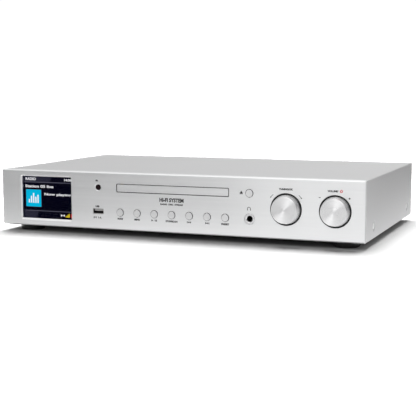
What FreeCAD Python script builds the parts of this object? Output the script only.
import FreeCAD
import Part
import math
import os

# A slim hi-fi receiver with a CD drive: an aluminium front with a colour display, a motor-driven
# disc tray, eight push buttons and two push-and-turn knobs, on a folded steel case with four feet.
#
# Everything is drawn in cabinet coordinates, in millimetres: X to the right, Y from the front face
# (Y = 0) to the back, Z up from the front panel's lower edge (Z = 0). save() moves each shape into
# the part's own frame, whose origin is on the floor at the centre of the overall box.

V = FreeCAD.Vector

# ---- driving dimensions -------------------------------------------------------------------------
PANEL_W = 435.0         # front panel, and the case behind it
PANEL_H = 65.0
BODY_D = 260.0          # front face to rear panel
FOOT_H = 7.6            # floor to the panel's lower edge
KNOB_STAND = 8.2        # knob face in front of the panel
REAR_REACH = 9.8        # longest socket behind the rear panel
FACE_Y = -(BODY_D + REAR_REACH - KNOB_STAND) / 2

PLATE_T = 4.0           # front plate thickness
PANEL_RIM = 3.0         # wall of the panel's returns
PANEL_D = 11.0          # depth of the returns
PANEL_BEVEL = 1.2
PANEL_CORNER = 2.0      # round of the panel's outline
SHEET = 1.0             # steel sheet of cover, chassis and rear panel
SEAM = 0.3              # gap between panel and cover

SIDE_X = PANEL_W / 2
COVER_X = SIDE_X - SEAM
COVER_TOP = PANEL_H - 0.2
COVER_LOW = 0.6
REAR_FLANGE_Z = 56.0    # lower edge of the cover's flange over the rear panel
FLOOR_Z = 1.0           # underside of the chassis floor

UPPER_Z = 47.7          # row of tray, eject button and remote sensor
LOWER_Z = 20.0          # row of buttons, USB and headphone sockets
SENSOR_X = -90.8
HEADPHONE_X = 91.0
EJECT_X = 90.7
KNOB_Z = 32.0
KNOBS_X = {"tuning": 131.6, "volume": 184.8}
BUTTON_PITCH = 21.05
ROW_BUTTONS = ["mode", "menu", "play", "stop", "previous", "next", "preset"]

SCREEN_X = (-190.9, -125.9)     # clear opening of the display
SCREEN_Z = (8.4, 57.6)
SCREEN_BEVEL = (1.3, 1.3, 2.0, 1.3)   # left, right, bottom, top

SLOT_X = 67.6           # half width of the tray slot in the panel
SLOT_Z = (42.8, 52.6)
DOOR_GAP = 0.8

FRAME_BACK = 8.4        # rear face of the plastic front frame's plate
FRAME_FRONT = 6.4
BOARD_Y = 15.5          # front face of the control board
BOARD_T = 1.6

BUTTON_R = 4.0
BUTTON_HOLE_R = 4.5
BUTTON_STAND = 0.9
BUTTON_TRAVEL = 0.8
STEM_R = 2.0

KNOB_FACE_R = 14.2      # the knob tapers from its face to KNOB_R at the panel
KNOB_R = 15.6
KNOB_HOLE_R = 17.4
KNOB_BACK = 3.0
KNOB_TRAVEL = 0.6
SHAFT_R = 3.0
RUN = 0.06              # radial running clearance

DISC_Y = 70.0           # spindle axis behind the front face
TRAY_X = 64.0
TRAY_Y = (3.2, 178.0)
TRAY_Z = (45.5, 51.0)
RACK_Z = (43.4, 45.5)
GEAR_X = -48.0
TRAY_GEAR_Y = 35.0
TRAY_GEAR_TEETH = 20
PINION_TEETH = 12
PULLEY_Y = TRAY_GEAR_Y + (TRAY_GEAR_TEETH + PINION_TEETH) / 2.0
MOTOR_Y = 93.0
RACK_PITCH_X = GEAR_X - TRAY_GEAR_TEETH / 2.0

BRIDGE_Z = (54.6, 56.2)         # plate of the clamp bridge
DECK_Z = (37.5, 39.5)
DECK_PIVOT = (154.0, 38.5)      # Y, Z of the tilting deck's hinge
LENS_Y = DISC_Y + 23.0
SLED_MODULE = 0.6
SLED_GEAR_TEETH = 30
SLED_PINION_TEETH = 14
SLED_GEAR = (38.0, 112.0)
SLED_PINION_Y = SLED_GEAR[1] + SLED_MODULE * (SLED_GEAR_TEETH + SLED_PINION_TEETH) / 2.0
SLED_PITCH_X = SLED_GEAR[0] - SLED_MODULE * SLED_GEAR_TEETH / 2.0
ROD_X = (-25.0, 24.0)
ROD_Z = 42.0
ROD_R = 1.5

FOOT_R = 14.6
FOOT_NECK_R = 12.6
FEET = [(x, y) for x in (-191.6, 191.6) for y in (25.0, 235.0)]
SIDE_SCREWS_Y = (40.0, 231.0)
SIDE_SCREW_Z = 13.5
PANEL_SCREWS_X = (-204.0, -112.0, 0.0, 112.0, 204.0)
PILLARS = [(-108, 11), (-108, 56), (-30, 32), (72, 32), (108, 56), (204, 11), (204, 56)]
PANEL_SCREW_Y = 7.6
REAR_SCREWS_X = (-200.0, 0.0, 200.0)
REAR_SCREW_Z = 60.0

DRIVE_FLOOR = 19.0      # underside of the disc drive's frame
MAIN_BOARD = ((84.0, 208.0), (74.0, 248.0))
POWER_BOARD = ((-206.0, -96.0), (120.0, 248.0))
BOARD_LIFT = 9.0        # underside of the two horizontal boards
POST_INSET = 6.0
DRIVE_POSTS = [(x, y) for x in (-60, 60) for y in (32, 188)]
BRIDGE_SCREWS = [(x, y) for x in (-65.4, 65.4) for y in (60, 80)]

INLET = (-180.0, 24.0)          # X, Z on the rear panel
SWITCH = (-138.0, 24.0)
ROCKER_PIVOT_Y = BODY_D - 3.0
ROCKER_LEAN = 7.0               # degrees either side of the middle; the upper half rests pressed in
PHONO_X = (96.0, 116.0, 136.0)
PHONO_Z = (20.0, 38.0)
PHONO_R = 4.15
OPTICAL_X = (154.0, 168.0)
NETWORK_X = 186.0
SOCKET_Z = 22.0
ANTENNA = (186.0, 44.0)


# ---- helpers ------------------------------------------------------------------------------------
def box(x, y, z):
    """A block between the (low, high) pairs x, y and z."""
    return Part.makeBox(x[1] - x[0], y[1] - y[0], z[1] - z[0], V(x[0], y[0], z[0]))


def rod_x(y, z, r, x):
    return Part.makeCylinder(r, x[1] - x[0], V(x[0], y, z), V(1, 0, 0))


def rod_y(x, z, r, y):
    return Part.makeCylinder(r, y[1] - y[0], V(x, y[0], z), V(0, 1, 0))


def rod_z(x, y, r, z):
    return Part.makeCylinder(r, z[1] - z[0], V(x, y, z[0]), V(0, 0, 1))


def cone(base, r1, r2, length, direction):
    return Part.makeCone(r1, r2, length, base, direction)


def both(shape):
    """The shape and its mirror image in the plane X = 0."""
    return [shape, shape.mirror(V(0, 0, 0), V(1, 0, 0))]


def join(first, *others):
    """One solid from touching or overlapping shapes."""
    return first.fuse(list(others)).removeSplitter()


def cut(shape, *tools):
    return shape.cut(list(tools))


def group(shapes):
    return Part.makeCompound(list(shapes))


def edges_where(shape, test):
    return [e for e in shape.Edges if all(test(v.Point) for v in e.Vertexes)]


def round_slab(x, z, y, corner):
    """A plate between y[0] and y[1] whose four corners in the XZ plane are rounded."""
    slab = box(x, y, z)
    along_y = [e for e in slab.Edges if abs(e.Vertexes[0].Y - e.Vertexes[1].Y) > 1e-6]
    return slab.makeFillet(corner, along_y)


def round_block(x, y, z, corner):
    """A block whose four upright edges are rounded."""
    block = box(x, y, z)
    upright = [e for e in block.Edges if abs(e.Vertexes[0].Z - e.Vertexes[1].Z) > 1e-6]
    return block.makeFillet(corner, upright)


def rounded_wire(x, z, y, corner):
    """The outline of a rounded rectangle in the plane at y."""
    face = next(f for f in round_slab(x, z, (y, y + 1), corner).Faces
                if abs(f.CenterOfMass.y - y) < 1e-6)
    return face.OuterWire


def funnel(x, z, y, margins, corner):
    """A tapered plug, from the rectangle x, z at y[1] to one larger by margins at y[0]."""
    left, right, low, high = margins
    wide_x = (x[0] - left, x[1] + right)
    wide_z = (z[0] - low, z[1] + high)
    front = rounded_wire(wide_x, wide_z, y[0], corner + left)
    back = rounded_wire(x, z, y[1], corner)
    return Part.makeLoft([front, back], True, True)


def screw(head_r, head_h, shank_r, length):
    """A cross-head screw along -Z with the underside of its pan head at Z = 0."""
    head = Part.makeCylinder(head_r, head_h)
    head = head.makeFillet(head_h * 0.45, [e for e in head.Edges if e.Closed and
                                           abs(e.CenterOfMass.z - head_h) < 1e-6])
    body = join(head, Part.makeCylinder(shank_r, length, V(0, 0, -length)))
    arm, slot, depth = head_r * 0.55, head_r * 0.13, head_h * 0.6
    for x, y in ((arm, slot), (slot, arm)):
        body = body.cut(box((-x, x), (-y, y), (head_h - depth, head_h + 1)))
    return body


def turned(shape, axis, degrees):
    moved = shape.copy()
    moved.rotate(V(0, 0, 0), axis, degrees)
    return moved


def at(shape, x, y, z):
    moved = shape.copy()
    moved.translate(V(x, y, z))
    return moved


def polar(radius, degrees):
    return V(radius * math.cos(math.radians(degrees)), radius * math.sin(math.radians(degrees)), 0)


def spur_gear(module, teeth, thickness, first_tooth, backlash):
    """An involute gear on the Z axis with stub teeth, one of them centred at first_tooth degrees."""
    pitch_r = module * teeth / 2.0
    base_r = pitch_r * math.cos(math.radians(20))
    tip_r = pitch_r + 0.8 * module
    root_r = pitch_r - 1.05 * module
    start_r = max(base_r, root_r)

    def roll(radius):
        """Involute angle in degrees at a radius."""
        a = math.acos(min(1.0, base_r / radius))
        return math.degrees(math.tan(a) - a)

    half = math.degrees(math.pi * module / 2 - backlash) / (2 * pitch_r)
    offset = half + roll(pitch_r)
    mid_r = (start_r + tip_r) / 2.0
    pitch_angle = 360.0 / teeth
    edges = []
    for k in range(teeth):
        centre = first_tooth + k * pitch_angle
        low, high = centre - offset, centre + offset
        rising = [polar(start_r, low + roll(start_r)), polar(mid_r, low + roll(mid_r)),
                  polar(tip_r, low + roll(tip_r))]
        falling = [polar(tip_r, high - roll(tip_r)), polar(mid_r, high - roll(mid_r)),
                   polar(start_r, high - roll(start_r))]
        root_in = polar(root_r, low + roll(start_r))
        root_out = polar(root_r, high - roll(start_r))
        next_in = polar(root_r, low + roll(start_r) + pitch_angle)
        if start_r > root_r + 1e-6:
            edges.append(Part.LineSegment(root_in, rising[0]).toShape())
        edges.append(Part.Arc(*rising).toShape())
        edges.append(Part.Arc(rising[2], polar(tip_r, centre), falling[0]).toShape())
        edges.append(Part.Arc(*falling).toShape())
        if start_r > root_r + 1e-6:
            edges.append(Part.LineSegment(falling[2], root_out).toShape())
        edges.append(Part.Arc(root_out, polar(root_r, centre + pitch_angle / 2), next_in).toShape())
    face = Part.Face(Part.Wire(Part.__sortEdges__(edges)))
    return face.extrude(V(0, 0, thickness))


def rack(module, pitch_x, back_x, y, z, gap_y):
    """A straight rack along Y with teeth towards +X, and a tooth gap centred at gap_y."""
    pitch = math.pi * module
    tip_x = pitch_x + 0.8 * module
    root_x = pitch_x - 1.05 * module
    flank = math.tan(math.radians(20))
    half_tip = pitch / 4 - 0.8 * module * flank - 0.04 * module
    half_root = pitch / 4 + 1.05 * module * flank - 0.04 * module
    points = [V(back_x, y[0], z[0]), V(root_x, y[0], z[0])]
    first = math.ceil((y[0] + half_root - gap_y) / pitch - 0.5)
    centre = gap_y + (first + 0.5) * pitch
    while centre + half_root < y[1]:
        points += [V(root_x, centre - half_root, z[0]), V(tip_x, centre - half_tip, z[0]),
                   V(tip_x, centre + half_tip, z[0]), V(root_x, centre + half_root, z[0])]
        centre += pitch
    points += [V(root_x, y[1], z[0]), V(back_x, y[1], z[0]), points[0]]
    return Part.Face(Part.makePolygon(points)).extrude(V(0, 0, z[1] - z[0]))


def belt_loop(x, y1, r1, y2, r2, z):
    """The solid filled by a belt's outline round two pulleys on the line X = x."""
    lean = math.asin((r1 - r2) / (y2 - y1))
    side, along = math.cos(lean), math.sin(lean)
    a = [V(x + r1 * side, y1 + r1 * along, z[0]), V(x - r1 * side, y1 + r1 * along, z[0])]
    b = [V(x + r2 * side, y2 + r2 * along, z[0]), V(x - r2 * side, y2 + r2 * along, z[0])]
    edges = [Part.LineSegment(a[0], b[0]).toShape(),
             Part.Arc(b[0], V(x, y2 + r2, z[0]), b[1]).toShape(),
             Part.LineSegment(b[1], a[1]).toShape(),
             Part.Arc(a[1], V(x, y1 - r1, z[0]), a[0]).toShape()]
    return Part.Face(Part.Wire(edges)).extrude(V(0, 0, z[1] - z[0]))


def button_centres():
    row = {name: ((i - 3) * BUTTON_PITCH, LOWER_Z) for i, name in enumerate(ROW_BUTTONS)}
    return {**row, "eject": (EJECT_X, UPPER_Z)}


def board_posts(board):
    (x0, x1), (y0, y1) = board
    return [(x, y) for x in (x0 + POST_INSET, x1 - POST_INSET) for y in (y0 + POST_INSET, y1 - 30)]


# ---- case ---------------------------------------------------------------------------------------
def front_panel():
    body = round_slab((-SIDE_X, SIDE_X), (0, PANEL_H), (0, PANEL_D), PANEL_CORNER)
    body = body.makeChamfer(PANEL_BEVEL, edges_where(body, lambda p: p.y < 1e-6))
    pocket = box((-SIDE_X + PANEL_RIM, SIDE_X - PANEL_RIM), (PLATE_T, PANEL_D + 1),
                 (PANEL_RIM, PANEL_H - PANEL_RIM))
    bevel_d = SCREEN_BEVEL[0]
    tools = [
        pocket,
        round_slab(SCREEN_X, SCREEN_Z, (-1, PLATE_T + 1), 1.0),
        funnel(SCREEN_X, SCREEN_Z, (0, bevel_d), SCREEN_BEVEL, 1.0),
        round_slab((-SLOT_X, SLOT_X), SLOT_Z, (-1, PLATE_T + 1), 1.5),
        rod_y(SENSOR_X, UPPER_Z, 3.3, (-1, PLATE_T + 1)),
        cone(V(SENSOR_X, 0, UPPER_Z), 4.1, 3.3, 0.6, V(0, 1, 0)),
        round_slab((SENSOR_X - 6.8, SENSOR_X + 6.8), (LOWER_Z - 2.7, LOWER_Z + 3.5),
                   (-1, PLATE_T + 1), 0.4),
        rod_y(HEADPHONE_X, LOWER_Z, 6.0, (-1, PLATE_T + 1)),
    ]
    tools += [rod_y(x, z, BUTTON_HOLE_R, (-1, PLATE_T + 1)) for x, z in button_centres().values()]
    tools += [rod_y(x, KNOB_Z, KNOB_HOLE_R, (-1, PLATE_T + 1)) for x in KNOBS_X.values()]
    tools += [rod_z(x, PANEL_SCREW_Y, 1.7, (-1, PANEL_RIM + 1)) for x in PANEL_SCREWS_X]
    return cut(body, *tools)


def front_frame():
    """Moulded frame behind the panel: it guides the buttons and carries display and board."""
    plate = box((-214.2, 214.2), (FRAME_FRONT, FRAME_BACK), (3.3, 61.8))
    posts = [box((x - 4, x + 4), (5.0, 10.6), (3.3, 9.5)) for x in PANEL_SCREWS_X]
    pillars = [rod_y(x, z, 2.6, (FRAME_BACK, BOARD_Y)) for x, z in PILLARS]
    body = join(plate, *posts, *pillars)
    through = (0, 12)
    tools = [
        box((-197.6, -119.2), through, (4.9, 60.6)),
        box((-66.6, 66.6), through, (42.6, 52.9)),
        rod_y(SENSOR_X, UPPER_Z, 3.4, through),
        box((SENSOR_X - 7, SENSOR_X + 7), through, (LOWER_Z - 3, LOWER_Z + 4)),
        rod_y(HEADPHONE_X, LOWER_Z, 6.2, through),
    ]
    tools += [rod_y(x, z, STEM_R + 0.15, through) for x, z in button_centres().values()]
    tools += [rod_y(x, KNOB_Z, 3.8, through) for x in KNOBS_X.values()]
    tools += [rod_z(x, PANEL_SCREW_Y, 1.5, (3, 9)) for x in PANEL_SCREWS_X]
    return cut(body, *tools)


def top_cover():
    """Folded cover: roof, two sides with a dished recess round each screw, and a rear flange."""
    inside = (-COVER_X + SHEET, COVER_X - SHEET)
    body = box((-COVER_X, COVER_X), (PANEL_D + SEAM, BODY_D + SHEET), (COVER_LOW, COVER_TOP))
    bends = [e for e in body.Edges if abs(e.CenterOfMass.z - COVER_TOP) < 1e-6 and
             abs(e.Vertexes[0].Y - e.Vertexes[1].Y) > 1e-6]
    body = cut(body.makeFillet(1.4, bends),
               box(inside, (0, BODY_D), (-1, COVER_TOP - SHEET)),
               box(inside, (BODY_D - 1, BODY_D + 5), (-1, REAR_FLANGE_Z)))
    for y in SIDE_SCREWS_Y:
        dish = cone(V(COVER_X, y, SIDE_SCREW_Z), 7.0, 4.6, 2.9, V(-1, 0, 0))
        hollow = cone(V(COVER_X + 0.01, y, SIDE_SCREW_Z), 6.0, 3.9, 1.91, V(-1, 0, 0))
        hole = rod_x(y, SIDE_SCREW_Z, 1.7, (COVER_X - 8, COVER_X + 1))
        for more, less, through in zip(both(dish), both(hollow), both(hole)):
            body = cut(join(body, more), less, through)
    rear_holes = [rod_y(x, REAR_SCREW_Z, 1.8, (BODY_D - 1, BODY_D + 2)) for x in REAR_SCREWS_X]
    return cut(body, *rear_holes)


def bottom_chassis():
    """Folded tray with pressed bosses for the boards and the drive, and rows of vent slots."""
    wall = COVER_X - 3.1
    front, back = PANEL_D + 0.4, BODY_D - SHEET - 0.2
    boards = board_posts(MAIN_BOARD) + board_posts(POWER_BOARD)
    parts = [box((-wall, wall), (front, back), (FLOOR_Z, FLOOR_Z + SHEET)),
             *both(box((wall - SHEET, wall), (front, back), (FLOOR_Z, 23))),
             box((-wall, wall), (front, front + SHEET), (FLOOR_Z, 7)),
             box((-wall, wall), (back - SHEET, back), (FLOOR_Z, 9.5))]
    parts += [rod_z(x, y, 3.5, (FLOOR_Z, BOARD_LIFT)) for x, y in boards]
    parts += [rod_z(x, y, 4.5, (FLOOR_Z, DRIVE_FLOOR)) for x, y in DRIVE_POSTS]
    tools = [rod_z(x, y, 1.7, (0, 3)) for x, y in FEET]
    tools += [rod_z(x, y, 1.2, (3, BOARD_LIFT + 1)) for x, y in boards]
    tools += [rod_z(x, y, 1.4, (10, DRIVE_FLOOR + 1)) for x, y in DRIVE_POSTS]
    for y in SIDE_SCREWS_Y:
        tools += both(rod_x(y, SIDE_SCREW_Z, 1.5, (wall - 3, wall + 2)))
    for x0 in (-170, 120):
        tools += [round_block((x0 + 9 * i, x0 + 9 * i + 3), (92, 114), (0, 3), 1.4) for i in range(6)]
    return cut(join(*parts), *tools)


def rear_panel():
    """Flat steel plate with a cut-out for each connector and a row of upright vent slots."""
    edge = COVER_X - SHEET - 0.3
    body = box((-edge, edge), (BODY_D - SHEET - 0.1, BODY_D - 0.1), (1.2, COVER_TOP - SHEET - 0.2))
    through = (BODY_D - 3, BODY_D + 2)

    def window(x, z, half_x, half_z, corner):
        return round_slab((x - half_x, x + half_x), (z - half_z, z + half_z), through, corner)

    tools = [window(*INLET, 10.6, 6.6, 2), window(*SWITCH, 6.7, 9.7, 0.6)]
    tools += [rod_y(x, REAR_SCREW_Z, 1.5, through) for x in REAR_SCREWS_X]
    tools += [rod_y(x, z, 5.0, through) for x in PHONO_X for z in PHONO_Z]
    tools += [window(x, SOCKET_Z, 5.2, 5.2, 0.4) for x in OPTICAL_X]
    tools += [window(NETWORK_X, SOCKET_Z, 8.2, 6.9, 0.4), rod_y(*ANTENNA, 5.0, through)]
    tools += [round_slab((-60 + 8 * i, -57.6 + 8 * i), (18, 48), through, 1.1) for i in range(16)]
    return cut(body, *tools)


def foot():
    """A tapered foot on the Z axis, with a narrower neck up to the chassis."""
    body = Part.makeCone(FOOT_R - 0.7, FOOT_R, FOOT_H)
    body = body.makeFillet(1.3, edges_where(body, lambda p: p.z < 1e-6))
    body = join(body, rod_z(0, 0, FOOT_NECK_R, (FOOT_H - 0.1, FOOT_H + FLOOR_Z)))
    groove = cut(Part.makeCylinder(11.6, 0.7), Part.makeCylinder(10.2, 0.7))
    return cut(body, Part.makeCylinder(7.5, 4.6), Part.makeCylinder(1.9, FOOT_H + 2), groove)


def case_screws():
    side = turned(screw(3.2, 1.6, 1.4, 7), V(0, 1, 0), 90)
    right = [at(side, COVER_X - 1.9, y, SIDE_SCREW_Z) for y in SIDE_SCREWS_Y]
    left = [s.mirror(V(0, 0, 0), V(1, 0, 0)) for s in right]
    rear = turned(screw(3.0, 1.9, 1.4, 6), V(1, 0, 0), -90)
    return group(right + left + [at(rear, x, BODY_D + SHEET, REAR_SCREW_Z) for x in REAR_SCREWS_X])


def underside_screws():
    down = turned(screw(2.9, 0.9, 1.4, 8), V(1, 0, 0), 180)
    foot_screw = turned(screw(4.0, 1.8, 1.6, 9), V(1, 0, 0), 180)
    return group([at(down, x, PANEL_SCREW_Y, 0) for x in PANEL_SCREWS_X] +
                 [at(foot_screw, x, y, -FOOT_H + 4.6) for x, y in FEET])


def internal_screws():
    """Board screws, drive screws and the screws of the clamp bridge."""
    boards = [at(screw(2.6, 1.6, 1.1, 5), x, y, BOARD_LIFT + BOARD_T) for x, y in
              board_posts(MAIN_BOARD) + board_posts(POWER_BOARD)]
    drive = [at(screw(3.2, 1.8, 1.3, 8), x, y, DRIVE_FLOOR + 2) for x, y in DRIVE_POSTS]
    bridge = [at(screw(1.9, 1.2, 0.9, 4), x, y, BRIDGE_Z[1]) for x, y in BRIDGE_SCREWS]
    return group(boards + drive + bridge)


# ---- display and front sockets ------------------------------------------------------------------
def display_window():
    pane = round_slab((SCREEN_X[0] + 0.1, SCREEN_X[1] - 0.1), (SCREEN_Z[0] + 0.1, SCREEN_Z[1] - 0.1),
                      (1.9, PLATE_T + 0.1), 0.9)
    flange = box((SCREEN_X[0] - 3, SCREEN_X[1] + 3), (PLATE_T + 0.1, 5.4),
                 (SCREEN_Z[0] - 3, SCREEN_Z[1] + 3))
    return join(pane, flange)


def display_module():
    middle = (SCREEN_X[0] + SCREEN_X[1]) / 2
    body = box((middle - 38.6, middle + 38.6), (5.5, 9.3), (5.1, 60.4))
    step = cut(box((middle - 40, middle + 40), (5.4, 5.9), (4, 62)),
               box((middle - 35.2, middle + 35.2), (5, 7), (6.5, 59.0)))
    tail = box((middle - 12, middle + 12), (9.3, 9.7), (8, 24))
    return join(cut(body, step), tail)


def ir_window():
    lens = join(rod_y(SENSOR_X, UPPER_Z, 3.25, (0.5, PLATE_T + 0.1)),
                rod_y(SENSOR_X, UPPER_Z, 4.4, (PLATE_T + 0.1, 5.4)))
    return lens.makeFillet(0.3, edges_where(lens, lambda p: abs(p.y - 0.5) < 1e-6))


def usb_socket():
    """Folded steel shell, open in front, with the contact tongue in its upper half."""
    middle = LOWER_Z + 0.4
    shell = round_slab((SENSOR_X - 6.55, SENSOR_X + 6.55), (middle - 2.85, middle + 2.85), (0.7, 19), 0.5)
    mouth = box((SENSOR_X - 6.2, SENSOR_X + 6.2), (0, 17.5), (middle - 2.5, middle + 2.5))
    tongue = box((SENSOR_X - 5.6, SENSOR_X + 5.6), (2.2, 17.6), (middle + 0.2, middle + 2.1))
    return join(cut(shell, mouth), tongue)


def headphone_jack():
    """Jack socket: a round bush through the panel on a square body, bored for a 6.35 mm plug."""
    x, z = HEADPHONE_X, LOWER_Z
    behind = FRAME_BACK + 0.2
    bush = rod_y(x, z, 5.8, (-0.3, behind))
    bush = bush.makeChamfer(0.3, edges_where(bush, lambda p: p.y < 0))
    body = box((x - 8.5, x + 8.5), (behind, 42), (z - 8.5, z + 8.5))
    socket = rod_y(x, z, 3.2, (-1, 36))
    mouth = cone(V(x, -0.31, z), 3.9, 3.2, 0.7, V(0, 1, 0))
    return cut(join(bush, body), socket, mouth)


# ---- controls -----------------------------------------------------------------------------------
def button(x, z):
    """Cap, retaining flange and stem of one push button."""
    cap = rod_y(x, z, BUTTON_R, (-BUTTON_STAND, 4.2))
    cap = cap.makeFillet(0.3, edges_where(cap, lambda p: p.y < 0))
    flange = rod_y(x, z, 5.8, (4.15, 5.2))
    stem = rod_y(x, z, STEM_R, (5.1, 9.3))
    return join(cap, flange, stem)


def control_board():
    """L-shaped board behind the controls, with the remote receiver and a ribbon plug on it."""
    front_back = (BOARD_Y, BOARD_Y + BOARD_T)
    plate = join(box((-112, 208), front_back, (5, 38)),
                 box((78, 208), front_back, (37, 60)),
                 box((-112, -76), front_back, (37, 60)))
    through = (BOARD_Y - 5, BOARD_Y + 5)
    plate = cut(plate,
                box((HEADPHONE_X - 9, HEADPHONE_X + 9), through, (LOWER_Z - 9, LOWER_Z + 9)),
                box((SENSOR_X - 7, SENSOR_X + 7), through, (LOWER_Z - 3, LOWER_Z + 4)))
    receiver = box((SENSOR_X - 3.5, SENSOR_X + 3.5), (11, BOARD_Y), (UPPER_Z - 4, UPPER_Z + 4))
    plug = box((20, 44), (BOARD_Y + BOARD_T, 22), (26, 32))
    return join(plate, receiver, plug)


def tact_switches():
    shapes = []
    for x, z in button_centres().values():
        body = box((x - 3, x + 3), (12, BOARD_Y), (z - 3, z + 3))
        tip = rod_y(x, z, 1.75, (9.4 + BUTTON_TRAVEL, 12))
        shapes.append(join(body, tip))
    return group(shapes)


def knob(x):
    """Turned aluminium knob, tapered, hollow behind, with a central hub."""
    body = join(cone(V(x, -KNOB_STAND, KNOB_Z), KNOB_FACE_R, KNOB_R, KNOB_STAND, V(0, 1, 0)),
                rod_y(x, KNOB_Z, KNOB_R, (0, KNOB_BACK)))
    body = body.makeFillet(0.4, edges_where(body, lambda p: p.y < -KNOB_STAND + 0.01))
    hollow = cut(rod_y(x, KNOB_Z, 13.2, (-5.0, KNOB_BACK + 1)),
                 rod_y(x, KNOB_Z, 5.6, (-6, KNOB_BACK + 2)))
    return cut(body, hollow, rod_y(x, KNOB_Z, SHAFT_R + RUN, (-5.2, KNOB_BACK + 1)))


def encoder_shaft(x):
    """Shaft with a flat on its front end."""
    shaft = rod_y(x, KNOB_Z, SHAFT_R, (-5.0, 13.4))
    return cut(shaft, box((x - 4, x + 4), (-6, 2.5), (KNOB_Z + 1.6, KNOB_Z + 4)))


def encoder_plunger(x):
    return join(rod_y(x, KNOB_Z, 3.6, (13.5, 14.4)), rod_y(x, KNOB_Z, 1.5, (14.4, 14.8)))


def hexagon(x, z, corner_r, y):
    """A six-sided plate on an axis along Y."""
    corners = [V(x, y[0], z) + V(corner_r * math.cos(math.radians(60 * k)), 0,
                                 corner_r * math.sin(math.radians(60 * k))) for k in range(7)]
    return Part.Face(Part.makePolygon(corners)).extrude(V(0, y[1] - y[0], 0))


def encoder(x):
    """Encoder housing with its bush and nut; the plunger's chamber is at the back."""
    housing = box((x - 6.2, x + 6.2), (FRAME_BACK + 0.4, BOARD_Y), (KNOB_Z - 6.6, KNOB_Z + 6.6))
    bush = rod_y(x, KNOB_Z, 3.5, (4.3, FRAME_BACK + 0.5))
    nut = hexagon(x, KNOB_Z, 5.8, (4.5, 6.3))
    return cut(join(housing, bush, nut), rod_y(x, KNOB_Z, SHAFT_R + RUN, (0, 13.5)),
               rod_y(x, KNOB_Z, 3.9, (13.45, BOARD_Y + 1)))


# ---- disc drive ---------------------------------------------------------------------------------
def drive_frame():
    """Moulded frame: tray guides at the sides, posts for the gears and ears for the deck's hinge."""
    z = (DRIVE_FLOOR, 53.4)
    floor_top = DRIVE_FLOOR + 2
    y = (24, 196)
    posts = [rod_z(GEAR_X, TRAY_GEAR_Y, 2.0, (floor_top, 45.0)),
             rod_z(GEAR_X, TRAY_GEAR_Y, 2.6, (floor_top, 40.0)),
             rod_z(GEAR_X, PULLEY_Y, 2.0, (floor_top, 42.8)),
             rod_z(GEAR_X, PULLEY_Y, 3.6, (floor_top, 35.8))]
    ears = [box(x, (150.5, 157.5), (floor_top, 42)) for x in ((-42, -36.5), (54.5, 60))]
    body = join(box((-67, 67), y, (DRIVE_FLOOR, floor_top)),
                *both(box((64.6, 67), y, z)),
                *both(box((61.6, 64.7), y, (43.2, 45.3))),
                *both(box((62.2, 64.7), y, (51.2, z[1]))),
                box((-67, 67), (194, 196), z), *posts, *ears)
    tools = [rod_x(*DECK_PIVOT, 2.0 + RUN, x) for x in ((-41, -30), (50, 59))]
    tools += [round_block((-30, 50), (46, 148), (DRIVE_FLOOR - 1, floor_top + 1), 4)]
    tools += [rod_z(px, py, 1.6, (DRIVE_FLOOR - 1, floor_top + 1)) for px, py in DRIVE_POSTS]
    tools += [rod_z(px, py, 0.95, (46, 54)) for px, py in BRIDGE_SCREWS]
    return cut(body, *tools)


def disc_tray():
    """Sliding tray: stepped wells for two disc sizes, an open slot behind the spindle, a rack."""
    top = TRAY_Z[1] + 1
    body = box((-TRAY_X, TRAY_X), TRAY_Y, TRAY_Z)
    slot = join(rod_z(0, DISC_Y, 22, (TRAY_Z[0] - 1, top)),
                box((-22, 22), (DISC_Y, TRAY_Y[1] + 2), (TRAY_Z[0] - 1, top)))
    finger = cut(rod_z(0, 0, 20, (48.0, top)), box((-30, 30), (-30, 6), TRAY_Z))
    body = cut(body, rod_z(0, DISC_Y, 60.6, (48.0, top)), rod_z(0, DISC_Y, 40.6, (47.1, top)), slot,
               finger, *[round_block(x, (133, 172), (47.2, top), 3) for x in ((-58, -26), (26, 58))])
    teeth = rack(1.0, RACK_PITCH_X, -61.0, (24, 176), RACK_Z, TRAY_GEAR_Y)
    rail = box((57.5, 60.5), (10, 176), (44.0, TRAY_Z[0]))
    return join(body, teeth, rail)


def tray_door():
    x = (-SLOT_X + DOOR_GAP, SLOT_X - DOOR_GAP)
    z = (SLOT_Z[0] + DOOR_GAP, SLOT_Z[1] - DOOR_GAP)
    slab = round_slab(x, z, (0.0, 2.6), 1.1)
    slab = slab.makeChamfer(0.2, edges_where(slab, lambda p: p.y < 1e-6))
    clips = [box((c - 5, c + 5), (2.6, TRAY_Y[0]), (46, 50.5)) for c in (-50, 0, 50)]
    return join(slab, *clips)


def tray_gear():
    teeth = at(spur_gear(1.0, TRAY_GEAR_TEETH, 5.0, 180, 0.14), GEAR_X, TRAY_GEAR_Y, 40.2)
    return cut(teeth, rod_z(GEAR_X, TRAY_GEAR_Y, 2.0 + RUN, (40, 46)))


def loading_pulley():
    half_step = 180.0 / PINION_TEETH
    pinion = at(spur_gear(1.0, PINION_TEETH, 3.2, -90 + half_step, 0.14), GEAR_X, PULLEY_Y, 39.4)
    wheel = cut(rod_z(GEAR_X, PULLEY_Y, 13, (36, 39.6)),
                cut(rod_z(GEAR_X, PULLEY_Y, 14, (37, 38.6)), rod_z(GEAR_X, PULLEY_Y, 11.6, (36, 40))))
    return cut(join(wheel, pinion), rod_z(GEAR_X, PULLEY_Y, 2.0 + RUN, (35, 44)))


def motor_pulley():
    wheel = cut(rod_z(GEAR_X, MOTOR_Y, 4.2, (36, 39.6)),
                cut(rod_z(GEAR_X, MOTOR_Y, 5, (37, 38.6)), rod_z(GEAR_X, MOTOR_Y, 2.8, (36, 40))))
    return join(wheel, rod_z(GEAR_X, MOTOR_Y, 1.0, (26, 40.2)))


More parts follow.
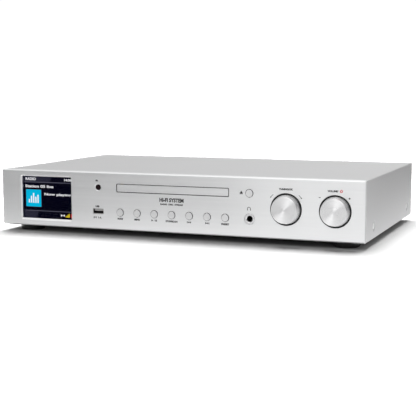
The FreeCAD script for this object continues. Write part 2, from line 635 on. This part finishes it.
def loading_belt():
    z = (37.2, 38.4)
    outer = belt_loop(GEAR_X, PULLEY_Y, 12.8, MOTOR_Y, 4.05, z)
    return cut(outer, belt_loop(GEAR_X, PULLEY_Y, 11.7, MOTOR_Y, 2.9, z))


def can_motor(x, y, r, z, shaft_bore):
    """A small round motor, shaft up, with its bearing boss."""
    can = rod_z(x, y, r, z)
    can = can.makeFillet(0.8, edges_where(can, lambda p: p.z < z[0] + 1e-6))
    boss = rod_z(x, y, 3.0, (z[1] - 0.5, z[1] + 0.5))
    return cut(join(can, boss), rod_z(x, y, shaft_bore, (z[0] + 1, z[1] + 1)))


def clamp_bridge():
    """Steel strip across the drive with stiffening ribs; it carries the clamp puck."""
    y = (55, 85)
    plate = box((-67, 67), y, BRIDGE_Z)
    legs = both(box((63.6, 67), y, (53.45, BRIDGE_Z[0] + 0.1)))
    ribs = [rib for rib_y in (56, 82)
            for rib in both(box((16, 60), (rib_y, rib_y + 2), (BRIDGE_Z[1] - 0.1, 58)))]
    holes = [rod_z(px, py, 1.1, (53, 57)) for px, py in BRIDGE_SCREWS]
    return cut(join(plate, *legs, *ribs), rod_z(0, DISC_Y, 9.2, (50, 60)), *holes)


def clamp_puck():
    body = join(rod_z(0, DISC_Y, 14, (51.7, 54.2)), rod_z(0, DISC_Y, 8.6, (54.1, 56.3)),
                rod_z(0, DISC_Y, 12, (56.25, 58.0)))
    return cut(body, rod_z(0, DISC_Y, 8, (51, 52.6)))


def traverse_deck():
    """Tilting steel deck with rod blocks, a gear post and the two pins of its hinge."""
    on_deck = DECK_Z[1] - 0.1
    plate = round_block((-34, 52), (50, 158), DECK_Z, 3)
    blocks = [box((x - 2.6, x + 2.6), (y, y + 3), (on_deck, 44.4)) for x in ROD_X for y in (77.5, 147)]
    pins = [rod_x(*DECK_PIVOT, 2.0, x) for x in ((-40.5, -33), (51, 58.5))]
    ears = [box(x, (150, 158), (36.5, 40.5)) for x in ((-34, -30), (48, 52))]
    post = rod_z(*SLED_GEAR, 1.5, (on_deck, 43.4))
    body = join(plate, *blocks, *pins, post, *ears)
    holes = [rod_z(0, DISC_Y, 3.6, (30, 50)), rod_z(SLED_GEAR[0], SLED_PINION_Y, 3.4, (30, 50))]
    holes += [rod_y(x, ROD_Z, ROD_R + 0.02, (76, 151)) for x in ROD_X]
    return cut(body, box((-18.5, 18.5), (81.5, 143), (30, 50)), *holes)


def guide_rods():
    return group([rod_y(x, ROD_Z, ROD_R, (77.5, 150)) for x in ROD_X])


def laser_pickup():
    """Optical sled on the two rods: lens turret on top, feed rack along its right side."""
    body = round_block((-17, 17), (82.2, 104), (36, 44.2), 1.5)
    arms = [box(x, (85, 101), (39.9, 44.1)) for x in ((-28.5, -16), (16, 27.4))]
    teeth = rack(SLED_MODULE, SLED_PITCH_X, 26.9, (71, 117), (40.4, 42.9), SLED_GEAR[1])
    turret = rod_z(0, LENS_Y, 5.5, (44.1, 46.4))
    lens = Part.makeSphere(4.0, V(0, LENS_Y, 43.0)).common(rod_z(0, LENS_Y, 2.6, (46, 47.2)))
    rod_holes = [rod_y(x, ROD_Z, ROD_R + 0.05, (80, 106)) for x in ROD_X]
    return cut(join(body, *arms, teeth, turret, lens), *rod_holes)


def turntable():
    platter = rod_z(0, DISC_Y, 15, (46.9, 49.2))
    mat = cut(rod_z(0, DISC_Y, 14.4, (49.1, 49.5)), rod_z(0, DISC_Y, 9.5, (49, 50)))
    hub = cone(V(0, DISC_Y, 49.1), 7.45, 6.7, 2.3, V(0, 0, 1))
    return join(platter, mat, hub, rod_z(0, DISC_Y, 1.0, (32, 47)), rod_z(0, DISC_Y, 3.0, (44, 47)))


def sled_gear():
    x, y = SLED_GEAR
    teeth = at(spur_gear(SLED_MODULE, SLED_GEAR_TEETH, 2.6, 180, 0.1), x, y, 40.3)
    return cut(teeth, rod_z(x, y, 1.5 + RUN, (40, 44)))


def sled_pinion():
    x = SLED_GEAR[0]
    teeth = at(spur_gear(SLED_MODULE, SLED_PINION_TEETH, 2.6, -90, 0.1), x, SLED_PINION_Y, 40.3)
    return join(teeth, rod_z(x, SLED_PINION_Y, 0.8, (28, 43.5)))


# ---- electronics and rear sockets ---------------------------------------------------------------
def board(outline):
    x, y = outline
    plate = box(x, y, (BOARD_LIFT, BOARD_LIFT + BOARD_T))
    holes = [rod_z(px, py, 1.6, (BOARD_LIFT - 1, BOARD_LIFT + 3)) for px, py in board_posts(outline)]
    return cut(plate, *holes)


def capacitor(x, y, r, height):
    base = BOARD_LIFT + BOARD_T
    can = rod_z(x, y, r, (base, base + height))
    return can.makeFillet(0.6, edges_where(can, lambda p: p.z > base + height - 1e-6))


def main_board_parts():
    """Processor, radio module in its shield can, amplifier chips, connectors and capacitors."""
    base = BOARD_LIFT + BOARD_T
    blocks = [box((128, 152), (120, 144), (base, base + 2.0)),
              box((164, 202), (178, 212), (base, base + 5.5)),
              box((96, 104), (112, 128), (base, base + 1.8)),
              box((100, 112), (186, 194), (base, base + 2.2)),
              box((130, 140), (186, 193), (base, base + 2.2)),
              box((90, 118), (84, 90), (base, base + 6)),
              box((150, 186), (84, 89), (base, base + 6)),
              box((160, 170), (150, 160), (base, base + 1.4))]
    fins = [box((160 + 6.8 * i, 162 + 6.8 * i), (120, 146), (base, base + 16)) for i in range(6)]
    sink = join(box((160, 196), (120, 146), (base, base + 3)), *fins)
    places = [(94, 150), (106, 150), (118, 150), (94, 166), (106, 166), (146, 166), (122, 100), (136, 100)]
    return group(blocks + [sink] + [capacitor(x, y, 4, 11) for x, y in places])


def power_board_parts():
    """Transformer, mains filter, fuse, capacitors and a finned heat sink."""
    base = BOARD_LIFT + BOARD_T
    core = join(box((-160, -122), (168, 200), (base, base + 30)),
                box((-154, -128), (160, 208), (base + 4, base + 26)))
    choke = join(box((-196, -176), (196, 214), (base, base + 16)),
                 rod_z(-186, 205, 7, (base + 15, base + 19)))
    fuse = join(box((-196, -172), (184, 187), (base, base + 3)),
                rod_x(185.5, base + 6, 2.6, (-194, -174)),
                *[box((x, x + 4), (183.5, 187.5), (base, base + 5)) for x in (-195, -177)])
    fins = [box((-120, -108), (152 + 9 * i, 154 + 9 * i), (base + 4, base + 30)) for i in range(6)]
    sink = join(box((-112, -108.5), (150, 206), (base, base + 30)), *fins)
    sizes = [(-188, 150, 11, 30), (-160, 146, 8, 20), (-140, 146, 6.5, 17),
             (-124, 140, 5, 14), (-188, 130, 5, 12), (-150, 128, 5, 14)]
    plug = box((-130, -110), (124, 130), (base, base + 6))
    return group([core, choke, fuse, sink, plug] + [capacitor(x, y, r, h) for x, y, r, h in sizes])


def mains_inlet():
    """Two-pin appliance inlet with a rounded mouth."""
    x, z = INLET
    flange = round_slab((x - 12.5, x + 12.5), (z - 9, z + 9), (BODY_D, BODY_D + 1.6), 2.5)
    body = round_slab((x - 10.3, x + 10.3), (z - 6.3, z + 6.3), (BODY_D - 22, BODY_D + 0.5), 1.8)
    pins_x = (x - 4.3, x + 4.3)
    deep = (BODY_D - 14, BODY_D + 3)
    mouth = join(*[rod_y(px, z, 4.1, deep) for px in pins_x], box(pins_x, deep, (z - 3.5, z + 3.5)))
    pins = [rod_y(px, z, 1.2, (BODY_D - 15, BODY_D - 3)) for px in pins_x]
    return join(cut(join(flange, body), mouth), *pins)


def mains_switch():
    """Housing of the rocker switch, with a through hole on the rocker's pivot."""
    x, z = SWITCH
    flange = round_slab((x - 7.6, x + 7.6), (z - 10.6, z + 10.6), (BODY_D, BODY_D + 1.6), 1.0)
    body = box((x - 6.5, x + 6.5), (BODY_D - 16, BODY_D + 0.5), (z - 9.5, z + 9.5))
    well = box((x - 5.2, x + 5.2), (BODY_D - 9, BODY_D + 3), (z - 8.4, z + 8.4))
    return cut(join(flange, body), well, rod_x(ROCKER_PIVOT_Y, z, 1.5 + RUN, (x - 6.0, x + 6.0)))


def mains_rocker():
    """Rocker with two faces in a shallow V, on a pivot pin along X, resting with its top pressed in."""
    half = [(-2.6, 3.0), (1.0, 7.4), (4.6, 7.2)]        # reach behind or before the pivot, height
    outline = half + [(3.6, 0.0)] + [(reach, -up) for reach, up in reversed(half)]
    corners = [V(-4.9, reach, up) for reach, up in outline + outline[:1]]
    body = join(Part.Face(Part.makePolygon(corners)).extrude(V(9.8, 0, 0)),
                rod_x(0, 0, 1.5, (-5.9, 5.9)))
    return at(turned(body, V(1, 0, 0), ROCKER_LEAN), SWITCH[0], ROCKER_PIVOT_Y, SWITCH[1])


def phono_barrel(x, z):
    collar = rod_y(x, z, 4.8, (BODY_D - 6, BODY_D + 0.6))
    barrel = rod_y(x, z, PHONO_R, (BODY_D, BODY_D + 9.0))
    return join(collar, barrel.makeFillet(0.4, edges_where(barrel, lambda p: p.y > BODY_D + 8.9)))


def phono_sockets():
    """One upright housing for each pair, the two barrels stacked."""
    shapes = []
    for x in PHONO_X:
        housing = box((x - 6.5, x + 6.5), (BODY_D - 16, BODY_D - 2),
                      (BOARD_LIFT + BOARD_T, PHONO_Z[1] + 8))
        bores = [rod_y(x, z, 1.65, (BODY_D - 12, BODY_D + 10)) for z in PHONO_Z]
        shapes.append(cut(join(housing, *[phono_barrel(x, z) for z in PHONO_Z]), *bores))
    return group(shapes)


def digital_sockets():
    """Two optical sockets and one network socket; each stands on the board and steps up to its window."""
    board_top = BOARD_LIFT + BOARD_T
    behind = BODY_D - 2.0
    shapes = []
    for x in OPTICAL_X:
        side, height = (x - 5.0, x + 5.0), (SOCKET_Z - 5.0, SOCKET_Z + 5.0)
        body = join(box(side, (BODY_D - 14, behind), (board_top, height[1])),
                    box(side, (behind - 1, BODY_D + 1.5), height))
        recess = box((x - 3.9, x + 3.9), (BODY_D - 1.5, BODY_D + 3), (SOCKET_Z - 3.9, SOCKET_Z + 3.9))
        shapes.append(cut(body, recess))
    side, height = (NETWORK_X - 8.0, NETWORK_X + 8.0), (SOCKET_Z - 6.7, SOCKET_Z + 6.7)
    body = join(box(side, (BODY_D - 18, behind), (board_top, height[1])),
                box(side, (behind - 1, BODY_D + 0.8), height))
    deep = (BODY_D - 12, BODY_D + 2)
    mouth = join(box((NETWORK_X - 5.9, NETWORK_X + 5.9), deep, (SOCKET_Z - 2.2, SOCKET_Z + 4.7)),
                 box((NETWORK_X - 3.1, NETWORK_X + 3.1), deep, (SOCKET_Z - 4.4, SOCKET_Z - 2)))
    return group(shapes + [cut(body, mouth)])


def antenna_socket():
    """Threaded coaxial socket with its washer and hexagon nut."""
    x, z = ANTENNA
    tip = BODY_D + REAR_REACH
    stem = rod_y(x, z, 4.7, (BODY_D - 12, tip))
    washer = rod_y(x, z, 6.8, (BODY_D, BODY_D + 0.5))
    nut = hexagon(x, z, 6.4, (BODY_D + 0.4, BODY_D + 2.6))
    shield = box((x - 6, x + 6), (BODY_D - 20, BODY_D - 4), (z - 6, z + 6))
    rings = [BODY_D + 3.4 + 0.8 * i for i in range(7)]
    thread = [cut(rod_y(x, z, 5.5, (y, y + 0.35)), rod_y(x, z, 4.4, (y - 1, y + 1))) for y in rings]
    mouth = rod_y(x, z, 3.3, (BODY_D + 6, tip + 1))
    contact = rod_y(x, z, 0.7, (BODY_D - 2, BODY_D + 7))
    return cut(join(stem, nut, washer, shield), mouth, contact, *thread)


# ---- assembly -----------------------------------------------------------------------------------
def all_parts():
    parts = {
        "front_panel": front_panel(), "front_frame": front_frame(), "top_cover": top_cover(),
        "bottom_chassis": bottom_chassis(), "rear_panel": rear_panel(),
        "feet": group([at(foot(), x, y, -FOOT_H) for x, y in FEET]),
        "case_screws": case_screws(), "underside_screws": underside_screws(),
        "internal_screws": internal_screws(), "display_window": display_window(),
        "display_module": display_module(), "ir_window": ir_window(), "usb_socket": usb_socket(),
        "headphone_jack": headphone_jack(), "control_board": control_board(),
        "tact_switches": tact_switches(), "drive_frame": drive_frame(), "disc_tray": disc_tray(),
        "tray_door": tray_door(), "tray_gear": tray_gear(), "loading_pulley": loading_pulley(),
        "motor_pulley": motor_pulley(), "loading_belt": loading_belt(),
        "loading_motor": can_motor(GEAR_X, MOTOR_Y, 11.5, (21.2, 34.5), 1.0 + RUN),
        "clamp_bridge": clamp_bridge(), "clamp_puck": clamp_puck(), "traverse_deck": traverse_deck(),
        "guide_rods": guide_rods(), "laser_pickup": laser_pickup(), "turntable": turntable(),
        "spindle_motor": can_motor(0, DISC_Y, 11.3, (30.5, DECK_Z[0]), 1.0 + RUN),
        "sled_gear": sled_gear(), "sled_pinion": sled_pinion(),
        "sled_motor": can_motor(SLED_GEAR[0], SLED_PINION_Y, 7.5, (25.5, DECK_Z[0]), 0.8 + RUN),
        "main_board": board(MAIN_BOARD), "main_board_parts": main_board_parts(),
        "power_board": board(POWER_BOARD), "power_board_parts": power_board_parts(),
        "mains_inlet": mains_inlet(), "mains_switch": mains_switch(), "mains_rocker": mains_rocker(),
        "phono_sockets": phono_sockets(), "digital_sockets": digital_sockets(),
        "antenna_socket": antenna_socket(),
    }
    for name, (x, z) in button_centres().items():
        parts["button_" + name] = button(x, z)
    for name, x in KNOBS_X.items():
        parts[name + "_knob"] = knob(x)
        parts[name + "_shaft"] = encoder_shaft(x)
        parts[name + "_plunger"] = encoder_plunger(x)
        parts[name + "_encoder"] = encoder(x)
    return parts


def save(parts):
    os.makedirs("parts", exist_ok=True)
    for name, shape in parts.items():
        placed = at(shape, 0, FACE_Y, FOOT_H)
        if not placed.isValid() or not placed.Solids:
            raise RuntimeError(name + " is not a valid solid")
        placed.exportStep(os.path.join("parts", name + ".step"))


save(all_parts())
